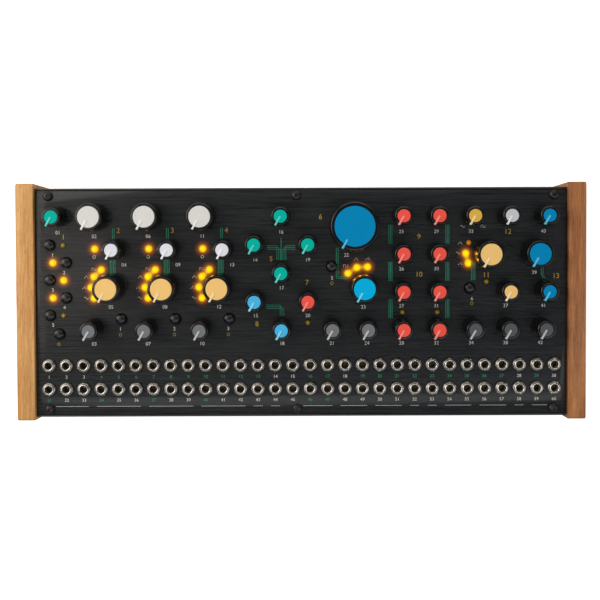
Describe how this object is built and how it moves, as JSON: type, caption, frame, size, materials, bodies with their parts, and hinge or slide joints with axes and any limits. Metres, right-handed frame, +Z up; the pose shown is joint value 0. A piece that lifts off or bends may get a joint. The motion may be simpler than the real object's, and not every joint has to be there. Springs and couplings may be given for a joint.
{
  "type": "semi-modular synthesizer",
  "caption": "Desktop synthesizer with a sloped black panel of coloured knobs, push buttons, lamps and a patch bay between wooden cheeks.",
  "frame": {"origin": "on the table plane, under the middle of the two cheeks", "axes": "+X to the player's right, +Y away from the player, +Z up"},
  "size_m": [0.3256, 0.1356, 0.0653],
  "materials": {
    "faceplate": "black anodised, brushed across",
    "powder_coat": "black powder coat, fine texture",
    "cherry_wood": "oiled cherry, vertical grain",
    "circuit_board": "green solder mask",
    "socket_black": "moulded",
    "knob_black": "satin moulded",
    "button_black": "polished",
    "cap_white": "satin",
    "cap_teal": "satin",
    "cap_peach": "satin",
    "cap_mustard": "satin",
    "cap_blue": "satin",
    "cap_sky": "satin",
    "cap_red": "satin",
    "cap_grey": "satin",
    "jack_nickel": "nickel plated",
    "screw_black": "black oxide",
    "lamp_lens": "diffused yellow lens",
    "rubber": "moulded",
    "panel_ink": "screen print"
  },
  "bodies": {
    "case": {"front_panel": "faceplate", "case_tray": "powder_coat", "left_cheek": "cherry_wood", "right_cheek": "cherry_wood", "control_board": "circuit_board", "jack_board": "circuit_board", "rear_socket_board": "socket_black"},
    "attack_1_knob": {"attack_1_knob": "knob_black"},
    "attack_2_knob": {"attack_2_knob": "knob_black"},
    "channel_1_knob": {"channel_1_knob": "knob_black"},
    "channel_2_knob": {"channel_2_knob": "knob_black"},
    "channel_3_knob": {"channel_3_knob": "knob_black"},
    "channel_4_knob": {"channel_4_knob": "knob_black"},
    "decay_1_knob": {"decay_1_knob": "knob_black"},
    "decay_2_knob": {"decay_2_knob": "knob_black"},
    "dynamics_cv_knob": {"dynamics_cv_knob": "knob_black"},
    "dynamics_knob": {"dynamics_knob": "knob_black"},
    "echo_mix_knob": {"echo_mix_knob": "knob_black"},
    "echo_repeats_knob": {"echo_repeats_knob": "knob_black"},
    "echo_time_cv_knob": {"echo_time_cv_knob": "knob_black"},
    "echo_time_knob": {"echo_time_knob": "knob_black"},
    "frequency_cv_1_knob": {"frequency_cv_1_knob": "knob_black"},
    "frequency_cv_2_knob": {"frequency_cv_2_knob": "knob_black"},
    "frequency_knob": {"frequency_knob": "knob_black"},
    "gate_resonance_knob": {"gate_resonance_knob": "knob_black"},
    "glide_knob": {"glide_knob": "knob_black"},
    "modulation_1_knob": {"modulation_1_knob": "knob_black"},
    "modulation_2_knob": {"modulation_2_knob": "knob_black"},
    "modulation_3_knob": {"modulation_3_knob": "knob_black"},
    "output_knob": {"output_knob": "knob_black"},
    "pitch_1_knob": {"pitch_1_knob": "knob_black"},
    "pitch_2_knob": {"pitch_2_knob": "knob_black"},
    "pitch_3_knob": {"pitch_3_knob": "knob_black"},
    "preamp_gain_knob": {"preamp_gain_knob": "knob_black"},
    "preamp_level_knob": {"preamp_level_knob": "knob_black"},
    "release_1_knob": {"release_1_knob": "knob_black"},
    "release_2_knob": {"release_2_knob": "knob_black"},
    "resonance_knob": {"resonance_knob": "knob_black"},
    "response_cv_knob": {"response_cv_knob": "knob_black"},
    "response_knob": {"response_knob": "knob_black"},
    "shape_1_knob": {"shape_1_knob": "knob_black"},
    "shape_2_knob": {"shape_2_knob": "knob_black"},
    "shape_3_knob": {"shape_3_knob": "knob_black"},
    "shape_cv_1_knob": {"shape_cv_1_knob": "knob_black"},
    "shape_cv_2_knob": {"shape_cv_2_knob": "knob_black"},
    "shape_cv_3_knob": {"shape_cv_3_knob": "knob_black"},
    "slow_oscillator_knob": {"slow_oscillator_knob": "knob_black"},
    "sustain_1_knob": {"sustain_1_knob": "knob_black"},
    "sustain_2_knob": {"sustain_2_knob": "knob_black"},
    "clock_button": {"clock_button": "button_black"},
    "dynamics_mode_button": {"dynamics_mode_button": "button_black"},
    "filter_mode_button": {"filter_mode_button": "button_black"},
    "hold_button": {"hold_button": "button_black"},
    "octave_down_button": {"octave_down_button": "button_black"},
    "octave_up_button": {"octave_up_button": "button_black"},
    "pattern_button": {"pattern_button": "button_black"},
    "seed_1_button": {"seed_1_button": "button_black"},
    "seed_2_button": {"seed_2_button": "button_black"},
    "seed_3_button": {"seed_3_button": "button_black"},
    "shift_button": {"shift_button": "button_black"}
  },
  "joints": [
    {"name": "attack_1_turn", "type": "hinge", "parent": "case", "child": "attack_1_knob", "pos_m": [0.0575, 0.0489, 0.04994], "axis": [0, 0.061, -0.9981], "range_deg": [0, 300]},
    {"name": "attack_2_turn", "type": "hinge", "parent": "case", "child": "attack_2_knob", "pos_m": [0.0775, 0.0489, 0.04994], "axis": [0, 0.061, -0.9981], "range_deg": [0, 300]},
    {"name": "channel_1_turn", "type": "hinge", "parent": "case", "child": "channel_1_knob", "pos_m": [-0.0263, 0.03293, 0.04897], "axis": [0, 0.061, -0.9981], "range_deg": [0, 300]},
    {"name": "channel_2_turn", "type": "hinge", "parent": "case", "child": "channel_2_knob", "pos_m": [-0.0114, 0.0489, 0.04994], "axis": [0, 0.061, -0.9981], "range_deg": [0, 300]},
    {"name": "channel_3_turn", "type": "hinge", "parent": "case", "child": "channel_3_knob", "pos_m": [-0.0113, 0.01696, 0.04799], "axis": [0, 0.061, -0.9981], "range_deg": [0, 300]},
    {"name": "channel_4_turn", "type": "hinge", "parent": "case", "child": "channel_4_knob", "pos_m": [0.0038, 0.03293, 0.04897], "axis": [0, 0.061, -0.9981], "range_deg": [0, 300]},
    {"name": "decay_1_turn", "type": "hinge", "parent": "case", "child": "decay_1_knob", "pos_m": [0.0575, 0.0276, 0.04864], "axis": [0, 0.061, -0.9981], "range_deg": [0, 300]},
    {"name": "decay_2_turn", "type": "hinge", "parent": "case", "child": "decay_2_knob", "pos_m": [0.0775, 0.0276, 0.04864], "axis": [0, 0.061, -0.9981], "range_deg": [0, 300]},
    {"name": "dynamics_cv_turn", "type": "hinge", "parent": "case", "child": "dynamics_cv_knob", "pos_m": [0.1172, -0.01498, 0.04604], "axis": [0, 0.061, -0.9981], "range_deg": [0, 300]},
    {"name": "dynamics_turn", "type": "hinge", "parent": "case", "child": "dynamics_knob", "pos_m": [0.1062, 0.02724, 0.04862], "axis": [0, 0.061, -0.9981], "range_deg": [0, 300]},
    {"name": "echo_mix_turn", "type": "hinge", "parent": "case", "child": "echo_mix_knob", "pos_m": [0.1389, 0.00629, 0.04734], "axis": [0, 0.061, -0.9981], "range_deg": [0, 300]},
    {"name": "echo_repeats_turn", "type": "hinge", "parent": "case", "child": "echo_repeats_knob", "pos_m": [0.1388, 0.0489, 0.04994], "axis": [0, 0.061, -0.9981], "range_deg": [0, 300]},
    {"name": "echo_time_cv_turn", "type": "hinge", "parent": "case", "child": "echo_time_cv_knob", "pos_m": [0.1371, -0.01498, 0.04604], "axis": [0, 0.061, -0.9981], "range_deg": [0, 300]},
    {"name": "echo_time_turn", "type": "hinge", "parent": "case", "child": "echo_time_knob", "pos_m": [0.1336, 0.02743, 0.04863], "axis": [0, 0.061, -0.9981], "range_deg": [0, 300]},
    {"name": "frequency_cv_1_turn", "type": "hinge", "parent": "case", "child": "frequency_cv_1_knob", "pos_m": [0.0176, -0.01498, 0.04604], "axis": [0, 0.061, -0.9981], "range_deg": [0, 300]},
    {"name": "frequency_cv_2_turn", "type": "hinge", "parent": "case", "child": "frequency_cv_2_knob", "pos_m": [0.0376, -0.01498, 0.04604], "axis": [0, 0.061, -0.9981], "range_deg": [0, 300]},
    {"name": "frequency_turn", "type": "hinge", "parent": "case", "child": "frequency_knob", "pos_m": [0.0302, 0.04315, 0.04959], "axis": [0, 0.061, -0.9981], "range_deg": [0, 300]},
    {"name": "gate_resonance_turn", "type": "hinge", "parent": "case", "child": "gate_resonance_knob", "pos_m": [0.1172, 0.00629, 0.04734], "axis": [0, 0.061, -0.9981], "range_deg": [0, 300]},
    {"name": "glide_turn", "type": "hinge", "parent": "case", "child": "glide_knob", "pos_m": [-0.1392, 0.0489, 0.04994], "axis": [0, 0.061, -0.9981], "range_deg": [0, 300]},
    {"name": "modulation_1_turn", "type": "hinge", "parent": "case", "child": "modulation_1_knob", "pos_m": [-0.1059, 0.03031, 0.04881], "axis": [0, 0.061, -0.9981], "range_deg": [0, 300]},
    {"name": "modulation_2_turn", "type": "hinge", "parent": "case", "child": "modulation_2_knob", "pos_m": [-0.07495, 0.03031, 0.04881], "axis": [0, 0.061, -0.9981], "range_deg": [0, 300]},
    {"name": "modulation_3_turn", "type": "hinge", "parent": "case", "child": "modulation_3_knob", "pos_m": [-0.044, 0.03031, 0.04881], "axis": [0, 0.061, -0.9981], "range_deg": [0, 300]},
    {"name": "output_turn", "type": "hinge", "parent": "case", "child": "output_knob", "pos_m": [0.1178, 0.0489, 0.04994], "axis": [0, 0.061, -0.9981], "range_deg": [0, 300]},
    {"name": "pitch_1_turn", "type": "hinge", "parent": "case", "child": "pitch_1_knob", "pos_m": [-0.1184, 0.0489, 0.04994], "axis": [0, 0.061, -0.9981], "range_deg": [0, 300]},
    {"name": "pitch_2_turn", "type": "hinge", "parent": "case", "child": "pitch_2_knob", "pos_m": [-0.08745, 0.0489, 0.04994], "axis": [0, 0.061, -0.9981], "range_deg": [0, 300]},
    {"name": "pitch_3_turn", "type": "hinge", "parent": "case", "child": "pitch_3_knob", "pos_m": [-0.0565, 0.0489, 0.04994], "axis": [0, 0.061, -0.9981], "range_deg": [0, 300]},
    {"name": "preamp_gain_turn", "type": "hinge", "parent": "case", "child": "preamp_gain_knob", "pos_m": [-0.0111, -0.01498, 0.04604], "axis": [0, 0.061, -0.9981], "range_deg": [0, 300]},
    {"name": "preamp_level_turn", "type": "hinge", "parent": "case", "child": "preamp_level_knob", "pos_m": [-0.0262, 0.00099, 0.04701], "axis": [0, 0.061, -0.9981], "range_deg": [0, 300]},
    {"name": "release_1_turn", "type": "hinge", "parent": "case", "child": "release_1_knob", "pos_m": [0.0575, -0.01498, 0.04604], "axis": [0, 0.061, -0.9981], "range_deg": [0, 300]},
    {"name": "release_2_turn", "type": "hinge", "parent": "case", "child": "release_2_knob", "pos_m": [0.0775, -0.01498, 0.04604], "axis": [0, 0.061, -0.9981], "range_deg": [0, 300]},
    {"name": "resonance_turn", "type": "hinge", "parent": "case", "child": "resonance_knob", "pos_m": [0.0356, 0.00801, 0.04744], "axis": [0, 0.061, -0.9981], "range_deg": [0, 300]},
    {"name": "response_cv_turn", "type": "hinge", "parent": "case", "child": "response_cv_knob", "pos_m": [0.0975, -0.01498, 0.04604], "axis": [0, 0.061, -0.9981], "range_deg": [0, 300]},
    {"name": "response_turn", "type": "hinge", "parent": "case", "child": "response_knob", "pos_m": [0.0973, 0.0489, 0.04994], "axis": [0, 0.061, -0.9981], "range_deg": [0, 300]},
    {"name": "shape_1_turn", "type": "hinge", "parent": "case", "child": "shape_1_knob", "pos_m": [-0.1091, 0.0084, 0.04747], "axis": [0, 0.061, -0.9981], "range_deg": [0, 300]},
    {"name": "shape_2_turn", "type": "hinge", "parent": "case", "child": "shape_2_knob", "pos_m": [-0.07815, 0.0084, 0.04747], "axis": [0, 0.061, -0.9981], "range_deg": [0, 300]},
    {"name": "shape_3_turn", "type": "hinge", "parent": "case", "child": "shape_3_knob", "pos_m": [-0.0472, 0.0084, 0.04747], "axis": [0, 0.061, -0.9981], "range_deg": [0, 300]},
    {"name": "shape_cv_1_turn", "type": "hinge", "parent": "case", "child": "shape_cv_1_knob", "pos_m": [-0.1189, -0.01498, 0.04604], "axis": [0, 0.061, -0.9981], "range_deg": [0, 300]},
    {"name": "shape_cv_2_turn", "type": "hinge", "parent": "case", "child": "shape_cv_2_knob", "pos_m": [-0.08795, -0.01498, 0.04604], "axis": [0, 0.061, -0.9981], "range_deg": [0, 300]},
    {"name": "shape_cv_3_turn", "type": "hinge", "parent": "case", "child": "shape_cv_3_knob", "pos_m": [-0.057, -0.01498, 0.04604], "axis": [0, 0.061, -0.9981], "range_deg": [0, 300]},
    {"name": "slow_oscillator_turn", "type": "hinge", "parent": "case", "child": "slow_oscillator_knob", "pos_m": [0.0038, 0.00099, 0.04701], "axis": [0, 0.061, -0.9981], "range_deg": [0, 300]},
    {"name": "sustain_1_turn", "type": "hinge", "parent": "case", "child": "sustain_1_knob", "pos_m": [0.0575, 0.00631, 0.04734], "axis": [0, 0.061, -0.9981], "range_deg": [0, 300]},
    {"name": "sustain_2_turn", "type": "hinge", "parent": "case", "child": "sustain_2_knob", "pos_m": [0.0775, 0.00631, 0.04734], "axis": [0, 0.061, -0.9981], "range_deg": [0, 300]},
    {"name": "clock_press", "type": "slide", "parent": "case", "child": "clock_button", "axis": [0, 0.061, -0.9981], "range_m": [0, 0.0005], "stiffness_N_per_m": 3200},
    {"name": "dynamics_mode_press", "type": "slide", "parent": "case", "child": "dynamics_mode_button", "axis": [0, 0.061, -0.9981], "range_m": [0, 0.0005], "stiffness_N_per_m": 3200},
    {"name": "filter_mode_press", "type": "slide", "parent": "case", "child": "filter_mode_button", "axis": [0, 0.061, -0.9981], "range_m": [0, 0.0005], "stiffness_N_per_m": 3200},
    {"name": "hold_press", "type": "slide", "parent": "case", "child": "hold_button", "axis": [0, 0.061, -0.9981], "range_m": [0, 0.0005], "stiffness_N_per_m": 3200},
    {"name": "octave_down_press", "type": "slide", "parent": "case", "child": "octave_down_button", "axis": [0, 0.061, -0.9981], "range_m": [0, 0.0005], "stiffness_N_per_m": 3200},
    {"name": "octave_up_press", "type": "slide", "parent": "case", "child": "octave_up_button", "axis": [0, 0.061, -0.9981], "range_m": [0, 0.0005], "stiffness_N_per_m": 3200},
    {"name": "pattern_press", "type": "slide", "parent": "case", "child": "pattern_button", "axis": [0, 0.061, -0.9981], "range_m": [0, 0.0005], "stiffness_N_per_m": 3200},
    {"name": "seed_1_press", "type": "slide", "parent": "case", "child": "seed_1_button", "axis": [0, 0.061, -0.9981], "range_m": [0, 0.0005], "stiffness_N_per_m": 3200},
    {"name": "seed_2_press", "type": "slide", "parent": "case", "child": "seed_2_button", "axis": [0, 0.061, -0.9981], "range_m": [0, 0.0005], "stiffness_N_per_m": 3200},
    {"name": "seed_3_press", "type": "slide", "parent": "case", "child": "seed_3_button", "axis": [0, 0.061, -0.9981], "range_m": [0, 0.0005], "stiffness_N_per_m": 3200},
    {"name": "shift_press", "type": "slide", "parent": "case", "child": "shift_button", "axis": [0, 0.061, -0.9981], "range_m": [0, 0.0005], "stiffness_N_per_m": 3200}
  ]
}
